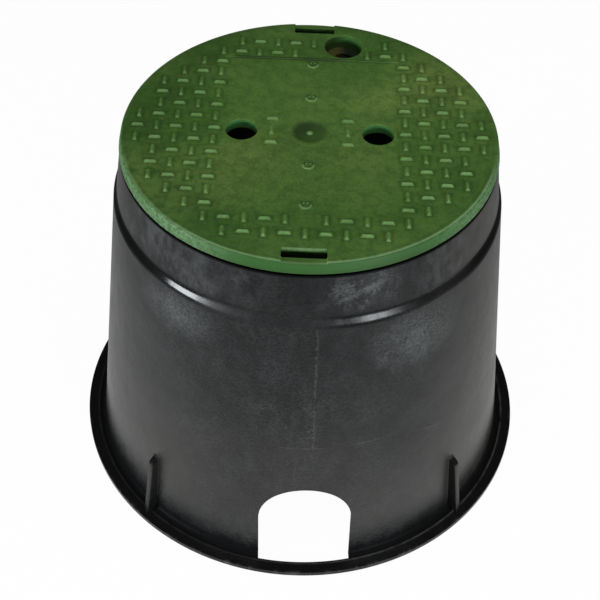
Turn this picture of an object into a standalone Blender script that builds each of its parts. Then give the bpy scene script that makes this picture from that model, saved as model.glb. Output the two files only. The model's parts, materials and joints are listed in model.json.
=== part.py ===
"""A round in-ground irrigation valve box: a moulded tapered box and its treaded lid. Metres, +Z up.

The origin is on the axis, at the underside of the flange. The lid's tread runs along X and Y, and the box
is turned a little about Z, as it stands in the photograph.
"""

import math

import bmesh
import bpy
from mathutils import Matrix, Vector

# Turning steps, how far joined shapes sink into each other, how far a cut runs past its face, and the angles
# over which an edge is sharp and under which faces are one flat face
STEPS = 96
SMALL_STEPS = 32
SINK = 0.0012
OVERRUN = 0.0030
SHARP_ANGLE = math.radians(25)
FLAT_ANGLE = math.radians(0.5)

# Box: tapered wall, shoulder and neck. Each stage is so much wider than the one above it
WALL = 0.0035
WALL_H = 0.2159
WALL_FLARE = 0.0235
SHOULDER_H = 0.0068
SHOULDER_STEP = 0.0026
NECK_H = 0.0305
NECK_FLARE = 0.0041
BOX_TURN = math.radians(2.8)

# Box: flange at the foot
FLANGE_LIP = 0.0088
FLANGE_T = 0.0036
FLANGE_EDGE = 0.0006
FOOT_FILLET = 0.0044
FOOT_FILLET_STEPS = 4

# Box: rim that the lid sits on
RIM_R = 0.1173
RIM_WALL = 0.0032
RIM_H = 0.0057
RIM_EDGE = 0.0005
SHELF_T = 0.0035
SHELF_SLOPE = 0.0030

# Box: pipe openings, front and back
PIPE_HOLE_W = 0.0636
PIPE_HOLE_TOP_Z = 0.0730
PIPE_HOLE_DEPTH = 0.0450
PIPE_HOLE_STEPS = 20

# Box: gusset ribs between the wall and the flange
GUSSETS = 4
GUSSET_T = 0.0045
GUSSET_TOP_Z = 0.0575
GUSSET_NOSE_DROP = 0.0060
GUSSET_NOSE_REACH = 0.0055
GUSSET_SETBACK = 0.0040
GUSSET_ROUND = 0.0007

# Box: lug for the lid bolt
LUG_R = 0.0090
LUG_H = 0.0160
LUG_HOLE_R = 0.0040

# Fit between lid and box
SEAT_GAP = 0.0003
RIM_CLEARANCE = 0.0005
SEAM = 0.0020
NECK_INSET = 0.0003
CATCH_CLEARANCE = 0.0006

# Lid: plate and skirt
PLATE_T = 0.0035
SKIRT_T = 0.0025
SKIRT_DRAFT = 0.0015
EDGE_SLOPE = 0.0026
EDGE_SLOPE_DROP = 0.0004
EDGE_ROUND = 0.0008

# Lid: tread of crossed bars
TREAD_PITCH_X = 0.01222
TREAD_PITCH_Y = 0.01192
BAR_LENGTH = 0.0087
BAR_WIDTH = 0.0036
BAR_H = 0.0015
BAR_SLOPE = 0.0012
TREAD_MARGIN = 0.0095
TREAD_TO_POCKET = 0.0018
TREAD_TO_WINDOW = 0.0080
CENTRE_COLUMN = 2
CENTRE_ROWS = 1

# Lid: smooth panel and moulding gate
PANEL_SIDE = 0.0030
PANEL_HALF_Y = 0.0773
PANEL_DEPTH = 0.0005
GATE_R = 0.0110
GATE_FLOOR_R = 0.0085
GATE_DEPTH = 0.0012
GATE_NUB_R = 0.0016
GATE_NUB_H = 0.0010

# Lid: finger holes, bolt pocket and the windows over the catches
FINGER_X = 0.0437
FINGER_R = 0.0102
BOLT_INSET = 0.0181
BOLT_ANGLE = math.radians(77.7)
POCKET_R = 0.0127
POCKET_DEPTH = 0.0095
POCKET_WALL = 0.0022
POCKET_FLOOR = 0.0025
POCKET_MOUTH = 0.0008
BOLT_HOLE_R = 0.0062
WINDOW_W = 0.0272
WINDOW_INSET = 0.0060
WINDOW_D = 0.0067
WINDOW_DIP = 0.0009

# Lid: ribs and catches underneath
RING_GAP = 0.0060
RIB_T = 0.0022
RIB_H = 0.0080
RADIAL_RIBS = 8
RIB_RIM_GAP = 0.0080
HUB_R = 0.0130
HUB_WALL = 0.0025
CATCH_T = 0.0028
CATCH_DROP = 0.0180
CATCH_HOOK_H = 0.0035
CATCH_HOOK_LIP = 0.0018

# Levels and radii that follow from the sizes above
NECK_FOOT_Z = WALL_H + SHOULDER_H
LEDGE_Z = NECK_FOOT_Z + NECK_H
RIM_TOP_Z = LEDGE_Z + RIM_H
PLATE_FOOT_Z = RIM_TOP_Z + SEAT_GAP
LID_TOP_Z = PLATE_FOOT_Z + PLATE_T
SKIRT_FOOT_Z = LEDGE_Z + SEAM
SKIRT_IN_R = RIM_R + RIM_CLEARANCE
LID_R = SKIRT_IN_R + SKIRT_T
LID_FOOT_R = LID_R + SKIRT_DRAFT
NECK_TOP_R = LID_FOOT_R - NECK_INSET
NECK_FOOT_R = NECK_TOP_R + NECK_FLARE
SHOULDER_R = NECK_FOOT_R + SHOULDER_STEP
WALL_FOOT_R = SHOULDER_R + WALL_FLARE
WALL_LEAN = math.atan2(WALL_FLARE, WALL_H)
RIM_IN_R = RIM_R - RIM_WALL
FILLET_RISE = FLANGE_T + FOOT_FILLET
CREASE_R = WALL_FOOT_R + (FOOT_FILLET - FILLET_RISE * math.sin(WALL_LEAN)) / math.cos(WALL_LEAN)
FLANGE_R = CREASE_R + FLANGE_LIP
BOLT_R = RIM_IN_R - BOLT_INSET
BOLT_X = BOLT_R * math.cos(BOLT_ANGLE)
BOLT_Y = BOLT_R * math.sin(BOLT_ANGLE)
POCKET_FLOOR_Z = LID_TOP_Z - POCKET_DEPTH
POCKET_FOOT_Z = POCKET_FLOOR_Z - POCKET_FLOOR
LUG_TOP_Z = POCKET_FOOT_Z - SEAT_GAP
WINDOW_IN_R = RIM_IN_R - WINDOW_INSET
WINDOW_OUT_R = WINDOW_IN_R + WINDOW_D
PANEL_HALF_X = FINGER_X + FINGER_R + PANEL_SIDE
RING_R = FINGER_X + FINGER_R + RING_GAP


def wall_radius(z):
    """Outer radius of the tapered wall at height z."""
    return WALL_FOOT_R - WALL_FLARE * z / WALL_H


def neck_radius(z):
    """Outer radius of the neck at height z."""
    return NECK_FOOT_R - NECK_FLARE * (z - NECK_FOOT_Z) / NECK_H


def clear_scene():
    for item in list(bpy.data.objects):
        bpy.data.objects.remove(item, do_unlink=True)


def plastic(name, colour, roughness):
    """A moulded plastic of one colour."""
    material = bpy.data.materials.new(name)
    material.use_nodes = True
    shader = material.node_tree.nodes["Principled BSDF"]
    shader.inputs["Base Color"].default_value = (*colour, 1.0)
    shader.inputs["Roughness"].default_value = roughness
    shader.inputs["Metallic"].default_value = 0.0
    return material


def add_mesh(name, collection, build):
    """A new object whose mesh is made by build(bm), with its faces pointing out."""
    mesh = bpy.data.meshes.new(name)
    bm = bmesh.new()
    build(bm)
    bmesh.ops.recalc_face_normals(bm, faces=bm.faces)
    bm.to_mesh(mesh)
    bm.free()
    item = bpy.data.objects.new(name, mesh)
    collection.objects.link(item)
    return item


def tool_group(name):
    """A collection for the shapes that are joined to a piece or cut from it."""
    group = bpy.data.collections.new(name)
    bpy.context.scene.collection.children.link(group)
    return group


def as_tool(item):
    item.hide_render = True
    item.display_type = "WIRE"
    return item


def turned(name, collection, profile, closed, steps=STEPS, centre=(0.0, 0.0)):
    """A shape turned about Z from a profile of (radius, height) points that runs down its outer side."""
    mesh = bpy.data.meshes.new(name)
    points = [(r, 0.0, z) for r, z in profile]
    last = len(points) if closed else len(points) - 1
    edges = [(i, (i + 1) % len(points)) for i in range(last)]
    mesh.from_pydata(points, edges, [])
    item = bpy.data.objects.new(name, mesh)
    item.location = (*centre, 0.0)
    collection.objects.link(item)
    screw = item.modifiers.new("turn", "SCREW")
    screw.axis = "Z"
    screw.angle = math.tau
    screw.steps = steps
    screw.render_steps = steps
    screw.use_merge_vertices = True
    screw.merge_threshold = 0.00001
    if not closed:
        flat = item.modifiers.new("one face at each flat end", "DECIMATE")
        flat.decimate_type = "DISSOLVE"
        flat.angle_limit = FLAT_ANGLE
    return item


def cylinder(name, collection, radius, low, high, centre=(0.0, 0.0), steps=SMALL_STEPS):
    profile = [(0.0, high), (radius, high), (radius, low), (0.0, low)]
    return as_tool(turned(name, collection, profile, False, steps, centre))


def prism(name, collection, outline, low, high, place=Matrix()):
    """An outline in the XY plane, carried from height low to height high and then put in place."""

    def build(bm):
        ring = [bm.verts.new((x, y, low)) for x, y in outline]
        floor = bm.faces.new(ring)
        raised = bmesh.ops.extrude_face_region(bm, geom=[floor])
        top = [part for part in raised["geom"] if isinstance(part, bmesh.types.BMVert)]
        bmesh.ops.translate(bm, vec=(0.0, 0.0, high - low), verts=top)
        bmesh.ops.transform(bm, matrix=place, verts=bm.verts)

    return as_tool(add_mesh(name, collection, build))


def rectangle(x0, x1, y0, y1):
    return [(x0, y0), (x1, y0), (x1, y1), (x0, y1)]


def combine(item, group, operation, name):
    """Joins a collection's shapes to a piece, or cuts them from it."""
    boolean = item.modifiers.new(name, "BOOLEAN")
    boolean.operation = operation
    boolean.solver = "EXACT"
    boolean.operand_type = "COLLECTION"
    boolean.collection = group


def finish(item, material):
    """Applies a piece's modifiers, gives it its material and shades it smooth between its sharp edges."""
    evaluated = item.evaluated_get(bpy.context.evaluated_depsgraph_get())
    mesh = bpy.data.meshes.new_from_object(evaluated)
    mesh.name = item.name
    item.modifiers.clear()
    item.data = mesh
    mesh.materials.clear()
    mesh.materials.append(material)
    mesh.shade_smooth()
    mesh.set_sharp_from_angle(angle=SHARP_ANGLE)


def box_profile():
    """The box's section: down the outside from the rim to the flange, and up the inside."""
    outside = [
        (RIM_R - RIM_EDGE, RIM_TOP_Z),
        (RIM_R, RIM_TOP_Z - RIM_EDGE),
        (RIM_R, LEDGE_Z),
        (NECK_TOP_R, LEDGE_Z),
        (NECK_FOOT_R, NECK_FOOT_Z),
        (SHOULDER_R, WALL_H),
    ]
    for step in range(FOOT_FILLET_STEPS + 1):
        turn = math.pi + WALL_LEAN + (math.pi / 2 - WALL_LEAN) * step / FOOT_FILLET_STEPS
        r = CREASE_R + FOOT_FILLET * math.cos(turn)
        z = FILLET_RISE + FOOT_FILLET * math.sin(turn)
        outside.append((r, z))
    outside += [
        (FLANGE_R - FLANGE_EDGE, FLANGE_T),
        (FLANGE_R, FLANGE_T - FLANGE_EDGE),
        (FLANGE_R, 0.0),
    ]
    shelf_z = LEDGE_Z - SHELF_T
    shelf_foot_z = shelf_z - SHELF_SLOPE
    inside = [
        (WALL_FOOT_R - WALL, 0.0),
        (SHOULDER_R - WALL, WALL_H),
        (NECK_FOOT_R - WALL, NECK_FOOT_Z),
        (neck_radius(shelf_foot_z) - WALL, shelf_foot_z),
        (RIM_IN_R, shelf_z),
        (RIM_IN_R, RIM_TOP_Z),
    ]
    return outside + inside


def add_pipe_hole(group, name, turn):
    """Cuts an arch through the wall, out to the flange's crease: the flange runs on across its foot."""
    half = PIPE_HOLE_W / 2
    spring_z = PIPE_HOLE_TOP_Z - half
    outer_r = CREASE_R + SEAT_GAP
    inner_y = -(CREASE_R - PIPE_HOLE_DEPTH)

    def build(bm):
        angles = [math.pi * step / PIPE_HOLE_STEPS for step in range(PIPE_HOLE_STEPS + 1)]
        columns = [(-half * math.cos(a), spring_z + half * math.sin(a)) for a in angles]
        front = []
        back = []
        for x, top in columns:
            y = -math.sqrt(outer_r**2 - x**2)
            front.append((bm.verts.new((x, y, -OVERRUN)), bm.verts.new((x, y, top))))
            back.append((bm.verts.new((x, inner_y, -OVERRUN)), bm.verts.new((x, inner_y, top))))
        for left, right in zip(range(len(columns) - 1), range(1, len(columns))):
            bm.faces.new((front[left][0], front[right][0], front[right][1], front[left][1]))
            bm.faces.new((back[left][0], back[left][1], back[right][1], back[right][0]))
            bm.faces.new((front[left][1], front[right][1], back[right][1], back[left][1]))
            bm.faces.new((front[left][0], back[left][0], back[right][0], front[right][0]))
        bm.faces.new((front[0][0], front[0][1], back[0][1], back[0][0]))
        bm.faces.new((front[-1][0], back[-1][0], back[-1][1], front[-1][1]))
        bmesh.ops.transform(bm, matrix=Matrix.Rotation(turn, 4, "Z"), verts=bm.verts)

    return as_tool(add_mesh(name, group, build))


def add_gusset(group, name, turn):
    """A rib from the wall to the flange, with a sloped head and a nose that widens to its foot."""
    nose_z = GUSSET_TOP_Z - GUSSET_NOSE_DROP
    root_z = FLANGE_T - SINK
    sunk_rise = SINK * GUSSET_NOSE_DROP / GUSSET_NOSE_REACH
    outline = [
        (wall_radius(GUSSET_TOP_Z) - SINK, GUSSET_TOP_Z + sunk_rise),
        (wall_radius(nose_z) + GUSSET_NOSE_REACH, nose_z),
        (FLANGE_R - GUSSET_SETBACK, root_z),
        (wall_radius(root_z) - SINK, root_z),
    ]

    def build(bm):
        ring = [bm.verts.new((r, -GUSSET_T / 2, z)) for r, z in outline]
        side = bm.faces.new(ring)
        raised = bmesh.ops.extrude_face_region(bm, geom=[side])
        far = [part for part in raised["geom"] if isinstance(part, bmesh.types.BMVert)]
        bmesh.ops.translate(bm, vec=(0.0, GUSSET_T, 0.0), verts=far)
        nose = [edge for edge in bm.edges if min(v.co.x for v in edge.verts) > wall_radius(nose_z)]
        bmesh.ops.bevel(bm, geom=nose, offset=GUSSET_ROUND, segments=2, profile=0.5, affect="EDGES")
        bmesh.ops.transform(bm, matrix=Matrix.Rotation(turn, 4, "Z"), verts=bm.verts)

    return as_tool(add_mesh(name, group, build))


def add_lug(group):
    """A moulded lug under the lid's bolt pocket: round at the bolt, with straight sides out to the neck."""
    reach = neck_radius(LUG_TOP_Z) - SINK - BOLT_R
    half_turn = [math.pi / 2 + math.pi * step / SMALL_STEPS for step in range(SMALL_STEPS + 1)]
    outline = [(LUG_R * math.cos(a), LUG_R * math.sin(a)) for a in half_turn]
    outline += [(reach, -LUG_R), (reach, LUG_R)]
    place = Matrix.Translation((BOLT_X, BOLT_Y, 0.0)) @ Matrix.Rotation(BOLT_ANGLE, 4, "Z")
    return prism("lug", group, outline, LUG_TOP_Z - LUG_H, LUG_TOP_Z, place)


def make_box(material):
    """The box: one moulding, open below, with a pipe opening at the front and one at the back."""
    body = turned("box_body", bpy.context.scene.collection, box_profile(), True)
    joined = tool_group("box joined")
    for number in range(GUSSETS):
        turn = BOX_TURN + math.tau * (number + 0.5) / GUSSETS
        add_gusset(joined, f"gusset {number + 1}", turn)
    add_lug(joined)
    cut = tool_group("box cut")
    add_pipe_hole(cut, "front pipe opening", BOX_TURN)
    add_pipe_hole(cut, "back pipe opening", BOX_TURN + math.pi)
    cylinder(
        "bolt thread",
        cut,
        LUG_HOLE_R,
        LUG_TOP_Z - LUG_H - OVERRUN,
        LUG_TOP_Z + OVERRUN,
        (BOLT_X, BOLT_Y),
    )
    combine(body, joined, "UNION", "join gussets and lug")
    combine(body, cut, "DIFFERENCE", "cut openings")
    finish(body, material)


def lid_profile():
    """The lid's plate and skirt: out from the axis over the top, down the skirt, and back underneath."""
    slope_r = LID_R - EDGE_SLOPE - EDGE_ROUND
    slope_z = LID_TOP_Z - EDGE_SLOPE_DROP
    midway = EDGE_ROUND * (1 - math.sqrt(0.5))
    return [
        (0.0, LID_TOP_Z),
        (slope_r, LID_TOP_Z),
        (LID_R - EDGE_ROUND, slope_z),
        (LID_R - midway, slope_z - midway),
        (LID_R, slope_z - EDGE_ROUND),
        (LID_FOOT_R, SKIRT_FOOT_Z),
        (SKIRT_IN_R, SKIRT_FOOT_Z),
        (SKIRT_IN_R, PLATE_FOOT_Z),
        (0.0, PLATE_FOOT_Z),
    ]


def add_underside(group):
    """What stiffens the plate from below: a ring, a hub, radial ribs and the bolt pocket's wall."""
    low = PLATE_FOOT_Z - RIB_H
    high = PLATE_FOOT_Z + SINK
    for name, radius, wall in (("ring rib", RING_R, RIB_T), ("hub", HUB_R, HUB_WALL)):
        profile = [(radius, high), (radius, low), (radius - wall, low), (radius - wall, high)]
        as_tool(turned(name, group, profile, True, SMALL_STEPS * 2))
    inner = HUB_R - HUB_WALL / 2
    outline = rectangle(inner, RIM_IN_R - RIB_RIM_GAP, -RIB_T / 2, RIB_T / 2)
    for number in range(RADIAL_RIBS):
        turn = Matrix.Rotation(math.tau * (number + 0.5) / RADIAL_RIBS, 4, "Z")
        prism(f"radial rib {number + 1}", group, outline, low + SINK / 4, high, turn)
    outer = POCKET_R + POCKET_WALL
    cylinder("pocket wall", group, outer, POCKET_FOOT_Z, high, (BOLT_X, BOLT_Y), SMALL_STEPS)


def add_catch(group, name, turn):
    """A springy tongue as wide as the rim window above it, with a hook that points out beneath it."""
    leg_out = WINDOW_IN_R
    leg_in = leg_out - CATCH_T
    half = WINDOW_W / 2
    hook_r = RIM_IN_R - CATCH_CLEARANCE
    hook_out = math.sqrt(hook_r**2 - half**2)
    top = PLATE_FOOT_Z + SINK
    foot = PLATE_FOOT_Z - CATCH_DROP
    outline = [
        (leg_in, top),
        (leg_in, foot),
        (leg_out, foot),
        (hook_out, foot + CATCH_HOOK_H),
        (hook_out, foot + CATCH_HOOK_H + CATCH_HOOK_LIP),
        (leg_out, foot + CATCH_HOOK_H + CATCH_HOOK_LIP),
        (leg_out, top),
    ]

    def build(bm):
        ring = [bm.verts.new((-half, -r, z)) for r, z in outline]
        side = bm.faces.new(ring)
        raised = bmesh.ops.extrude_face_region(bm, geom=[side])
        far = [part for part in raised["geom"] if isinstance(part, bmesh.types.BMVert)]
        bmesh.ops.translate(bm, vec=(WINDOW_W, 0.0, 0.0), verts=far)
        bmesh.ops.transform(bm, matrix=Matrix.Rotation(turn, 4, "Z"), verts=bm.verts)

    return as_tool(add_mesh(name, group, build))


def add_lid_cuts(group):
    """The smooth panel, the gate's dish, the finger holes, the bolt pocket and the rim windows."""
    over = LID_TOP_Z + OVERRUN
    panel = rectangle(-PANEL_HALF_X, PANEL_HALF_X, -PANEL_HALF_Y, PANEL_HALF_Y)
    prism("panel", group, panel, LID_TOP_Z - PANEL_DEPTH, over)
    gate_z = LID_TOP_Z - PANEL_DEPTH
    gate = [
        (0.0, over),
        (GATE_R, over),
        (GATE_R, gate_z),
        (GATE_FLOOR_R, gate_z - GATE_DEPTH),
        (0.0, gate_z - GATE_DEPTH),
    ]
    as_tool(turned("gate dish", group, gate, False, SMALL_STEPS))
    for name, x in (("left finger hole", -FINGER_X), ("right finger hole", FINGER_X)):
        cylinder(name, group, FINGER_R, PLATE_FOOT_Z - OVERRUN, over, (x, 0.0))
    pocket = [
        (0.0, over),
        (POCKET_R + POCKET_MOUTH + OVERRUN, over),
        (POCKET_R, LID_TOP_Z - POCKET_MOUTH),
        (POCKET_R, POCKET_FLOOR_Z),
        (BOLT_HOLE_R, POCKET_FLOOR_Z),
        (BOLT_HOLE_R, POCKET_FOOT_Z - OVERRUN),
        (0.0, POCKET_FOOT_Z - OVERRUN),
    ]
    as_tool(turned("bolt pocket", group, pocket, False, SMALL_STEPS, (BOLT_X, BOLT_Y)))
    half = WINDOW_W / 2
    for name, turn in (("front window", 0.0), ("back window", math.pi)):
        place = Matrix.Rotation(turn, 4, "Z")
        slot = rectangle(-half, half, -WINDOW_OUT_R, -WINDOW_IN_R)
        prism(name, group, slot, PLATE_FOOT_Z - CATCH_DROP / 2, over, place)
        dip = rectangle(-half, half, -LID_FOOT_R - OVERRUN, -WINDOW_OUT_R + WINDOW_DIP)
        prism(f"{name} dip", group, dip, LID_TOP_Z - WINDOW_DIP, over, place)


def bar_sizes(column, row):
    """Half lengths of a bar along X and Y: every other bar is turned a quarter."""
    if (column + row) % 2:
        return BAR_LENGTH / 2, BAR_WIDTH / 2
    return BAR_WIDTH / 2, BAR_LENGTH / 2


def bar_stands(column, row):
    """True where the chequer has a bar: off the panel, inside the edge, clear of pocket and windows."""
    if abs(column) == CENTRE_COLUMN and abs(row) <= CENTRE_ROWS:
        return True
    x = column * TREAD_PITCH_X
    y = row * TREAD_PITCH_Y
    half_x, half_y = bar_sizes(column, row)
    if abs(x) < PANEL_HALF_X and abs(y) < PANEL_HALF_Y:
        return False
    if math.hypot(x, y) > LID_R - TREAD_MARGIN:
        return False
    if column == 0 and abs(y) - TREAD_PITCH_Y < PANEL_HALF_Y:
        return False
    near_x = max(abs(x - BOLT_X) - half_x, 0.0)
    near_y = max(abs(y - BOLT_Y) - half_y, 0.0)
    if math.hypot(near_x, near_y) < POCKET_R + TREAD_TO_POCKET:
        return False
    beside = abs(x) - half_x > WINDOW_W / 2 + TREAD_TO_WINDOW
    short = abs(y) + half_y < WINDOW_IN_R - TREAD_TO_WINDOW
    return beside or short


def add_tread(group):
    """The raised bars, as one set of blocks with sloped sides, and the gate's nub."""
    columns = int(LID_R / TREAD_PITCH_X)
    rows = int(LID_R / TREAD_PITCH_Y)
    places = [(i, j) for i in range(-columns, columns + 1) for j in range(-rows, rows + 1)]
    foot_z = LID_TOP_Z - PANEL_DEPTH - SINK
    top_z = LID_TOP_Z + BAR_H

    def build(bm):
        for column, row in places:
            if not bar_stands(column, row):
                continue
            centre = Vector((column * TREAD_PITCH_X, row * TREAD_PITCH_Y, 0.0))
            half_x, half_y = bar_sizes(column, row)
            corners = rectangle(-half_x, half_x, -half_y, half_y)
            top_x = half_x - BAR_SLOPE
            top_y = half_y - BAR_SLOPE
            top = rectangle(-top_x, top_x, -top_y, top_y)
            low = [bm.verts.new(centre + Vector((x, y, foot_z))) for x, y in corners]
            high = [bm.verts.new(centre + Vector((x, y, top_z))) for x, y in top]
            bm.faces.new(low)
            bm.faces.new(high)
            for side in range(4):
                after = (side + 1) % 4
                bm.faces.new((low[side], low[after], high[after], high[side]))

    as_tool(add_mesh("tread bars", group, build))
    dish_z = LID_TOP_Z - PANEL_DEPTH - GATE_DEPTH
    cylinder("gate nub", group, GATE_NUB_R, dish_z - SINK / 2, dish_z + GATE_NUB_H)


def make_lid(material):
    """The lid: one moulding with a treaded top, a skirt over the rim, and catches under two windows."""
    lid = turned("lid", bpy.context.scene.collection, lid_profile(), False)
    joined = tool_group("lid joined")
    add_underside(joined)
    add_catch(joined, "front catch", 0.0)
    add_catch(joined, "back catch", math.pi)
    cut = tool_group("lid cut")
    add_lid_cuts(cut)
    raised = tool_group("lid raised")
    add_tread(raised)
    combine(lid, joined, "UNION", "join ribs and catches")
    combine(lid, cut, "DIFFERENCE", "cut holes and panel")
    combine(lid, raised, "UNION", "raise the tread")
    finish(lid, material)


def main():
    clear_scene()
    make_box(plastic("black polyethylene", (0.020, 0.020, 0.021), 0.38))
    make_lid(plastic("green polyethylene", (0.048, 0.105, 0.020), 0.50))


main()
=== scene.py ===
import json
import math

import bmesh
import bpy
import numpy as np
from mathutils import Matrix, Vector
from mathutils.geometry import delaunay_2d_cdt

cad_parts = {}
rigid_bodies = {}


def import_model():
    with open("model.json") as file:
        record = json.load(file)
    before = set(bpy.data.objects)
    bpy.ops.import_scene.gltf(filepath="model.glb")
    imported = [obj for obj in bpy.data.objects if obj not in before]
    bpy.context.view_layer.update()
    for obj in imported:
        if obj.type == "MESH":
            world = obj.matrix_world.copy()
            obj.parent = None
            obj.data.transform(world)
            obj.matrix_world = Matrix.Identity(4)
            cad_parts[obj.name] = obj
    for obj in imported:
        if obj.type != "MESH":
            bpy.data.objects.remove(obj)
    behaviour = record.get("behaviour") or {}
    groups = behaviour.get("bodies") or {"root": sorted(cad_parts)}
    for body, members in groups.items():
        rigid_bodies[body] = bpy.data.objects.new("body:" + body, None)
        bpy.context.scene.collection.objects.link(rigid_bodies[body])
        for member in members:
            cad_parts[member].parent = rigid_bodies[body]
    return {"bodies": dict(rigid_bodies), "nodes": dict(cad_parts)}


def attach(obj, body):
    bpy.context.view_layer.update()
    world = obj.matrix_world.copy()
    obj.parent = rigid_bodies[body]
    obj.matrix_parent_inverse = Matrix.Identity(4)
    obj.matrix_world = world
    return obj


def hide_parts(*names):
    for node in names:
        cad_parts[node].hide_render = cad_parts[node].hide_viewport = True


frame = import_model()
# Of what the opening file holds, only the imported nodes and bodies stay
packed = set(frame["nodes"].values()) | set(frame["bodies"].values())
for item in [o for o in bpy.data.objects if o not in packed]:
    bpy.data.objects.remove(item, do_unlink=True)
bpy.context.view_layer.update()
print("frame loaded")


# Shapes: every surface is an array of points, and its faces are an array of point numbers

def softCorners(points, reach, steps):
    # Each corner p of a closed line becomes a curve, (1-t)^2 a + 2t(1-t) p + t^2 b, where a and b lie on its
    # two sides at the distance reach
    p = np.asarray(points, float)
    reach = np.broadcast_to(np.asarray(reach, float), len(p))[:, None]
    back = np.roll(p, 1, 0) - p
    ahead = np.roll(p, -1, 0) - p
    a = p + back / np.linalg.norm(back, axis=1)[:, None] * reach
    b = p + ahead / np.linalg.norm(ahead, axis=1)[:, None] * reach
    t = np.linspace(0, 1, steps + 1)[None, :, None]
    line = (1 - t) ** 2 * a[:, None] + 2 * t * (1 - t) * p[:, None] + t ** 2 * b[:, None]
    line = line.reshape(-1, p.shape[1])
    return line[np.linalg.norm(line - np.roll(line, 1, 0), axis=1) > 1e-7]


def gridFaces(rows, columns, roundRows=True):
    # Point (i, j) of a grid has number i * columns + j, and each cell is one quad. A row closes on itself
    i = np.arange(rows if roundRows else rows - 1)[:, None]
    j = np.arange(columns)[None, :]
    i2, j2 = (i + 1) % rows, (j + 1) % columns
    corners = np.broadcast_arrays(i * columns + j, i * columns + j2, i2 * columns + j2, i2 * columns + j)
    return np.stack(corners, -1).reshape(-1, 4)


def turned(profile, azimuths, centre=(0.0, 0.0), roundProfile=True):
    # A (radius, height) line carried round an axis: x = r cos a, y = r sin a
    profile = np.asarray(profile, float)
    r, z = profile[:, :1], profile[:, 1:]
    a = np.asarray(azimuths)[None, :]
    points = np.stack([centre[0] + r * np.cos(a), centre[1] + r * np.sin(a), z + 0 * a], -1).reshape(-1, 3)
    return points, gridFaces(len(profile), a.shape[1], roundProfile)


def fullTurn(count):
    # Azimuths at even steps of tau / count
    return np.arange(count) * math.tau / count


def tube(points):
    # Rows of a grid joined into a tube, with a flat face on each end
    rows, columns = points.shape[:2]
    ends = [list(range(columns)), list(range((rows - 1) * columns, rows * columns))]
    return points.reshape(-1, 3), gridFaces(rows, columns, False).tolist() + ends


def carried(outline, origins, across):
    # A closed (x, z) outline at each origin: point = origin + x * across + z * up
    x, z = (np.asarray(outline, float)[None, :, k:k + 1] for k in (0, 1))
    return tube(origins[:, None] + x * np.array(across) + z * np.array([0.0, 0.0, 1.0]))


def circle(radius, count, centre=(0.0, 0.0)):
    # x = r cos a, y = r sin a, at even steps
    a = fullTurn(count)
    return np.stack([centre[0] + radius * np.cos(a), centre[1] + radius * np.sin(a)], -1)


def filledPlan(loops):
    # Triangles of the plane between closed loops of points, each loop kept as edges
    counts = [len(loop) for loop in loops]
    starts = np.concatenate([[0], np.cumsum(counts)[:-1]])
    edges = [np.stack([np.arange(n), (np.arange(n) + 1) % n], -1) + s for n, s in zip(counts, starts)]
    flat = [Vector(p) for p in np.concatenate(loops).tolist()]
    points, _, faces, *_ = delaunay_2d_cdt(flat, np.concatenate(edges).tolist(), [], 0, 1e-8)
    return np.array([tuple(p) for p in points]), np.array(faces)


def makePiece(name, shells, material, body, sharp=35.0):
    # One mesh of all shells: doubles are merged, and faces turned outwards
    offsets = np.cumsum([0] + [len(points) for points, _ in shells])
    faces = []
    for (_, part), offset in zip(shells, offsets):
        faces += [[corner + offset for corner in face] for face in part]
    mesh = bpy.data.meshes.new(name)
    mesh.from_pydata(np.concatenate([points for points, _ in shells]), [], faces)
    bm = bmesh.new()
    bm.from_mesh(mesh)
    bmesh.ops.remove_doubles(bm, verts=bm.verts, dist=2e-6)
    bmesh.ops.recalc_face_normals(bm, faces=bm.faces)
    bm.to_mesh(mesh)
    bm.free()
    mesh.materials.append(material)
    mesh.shade_smooth()
    mesh.set_sharp_from_angle(angle=math.radians(sharp))
    piece = bpy.data.objects.new(name, mesh)
    bpy.context.scene.collection.objects.link(piece)
    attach(piece, body)
    return piece


def soften(piece, width, angle=50.0):
    # A small moulded radius on every edge that turns more than the angle
    bevel = piece.modifiers.new("moulded edges", "BEVEL")
    bevel.width = width
    bevel.segments = 2
    bevel.limit_method = "ANGLE"
    bevel.angle_limit = math.radians(angle)
    bevel.harden_normals = True
    bevel.use_clamp_overlap = True
    return piece


# Shader maths: an expression on these adds the nodes

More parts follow.
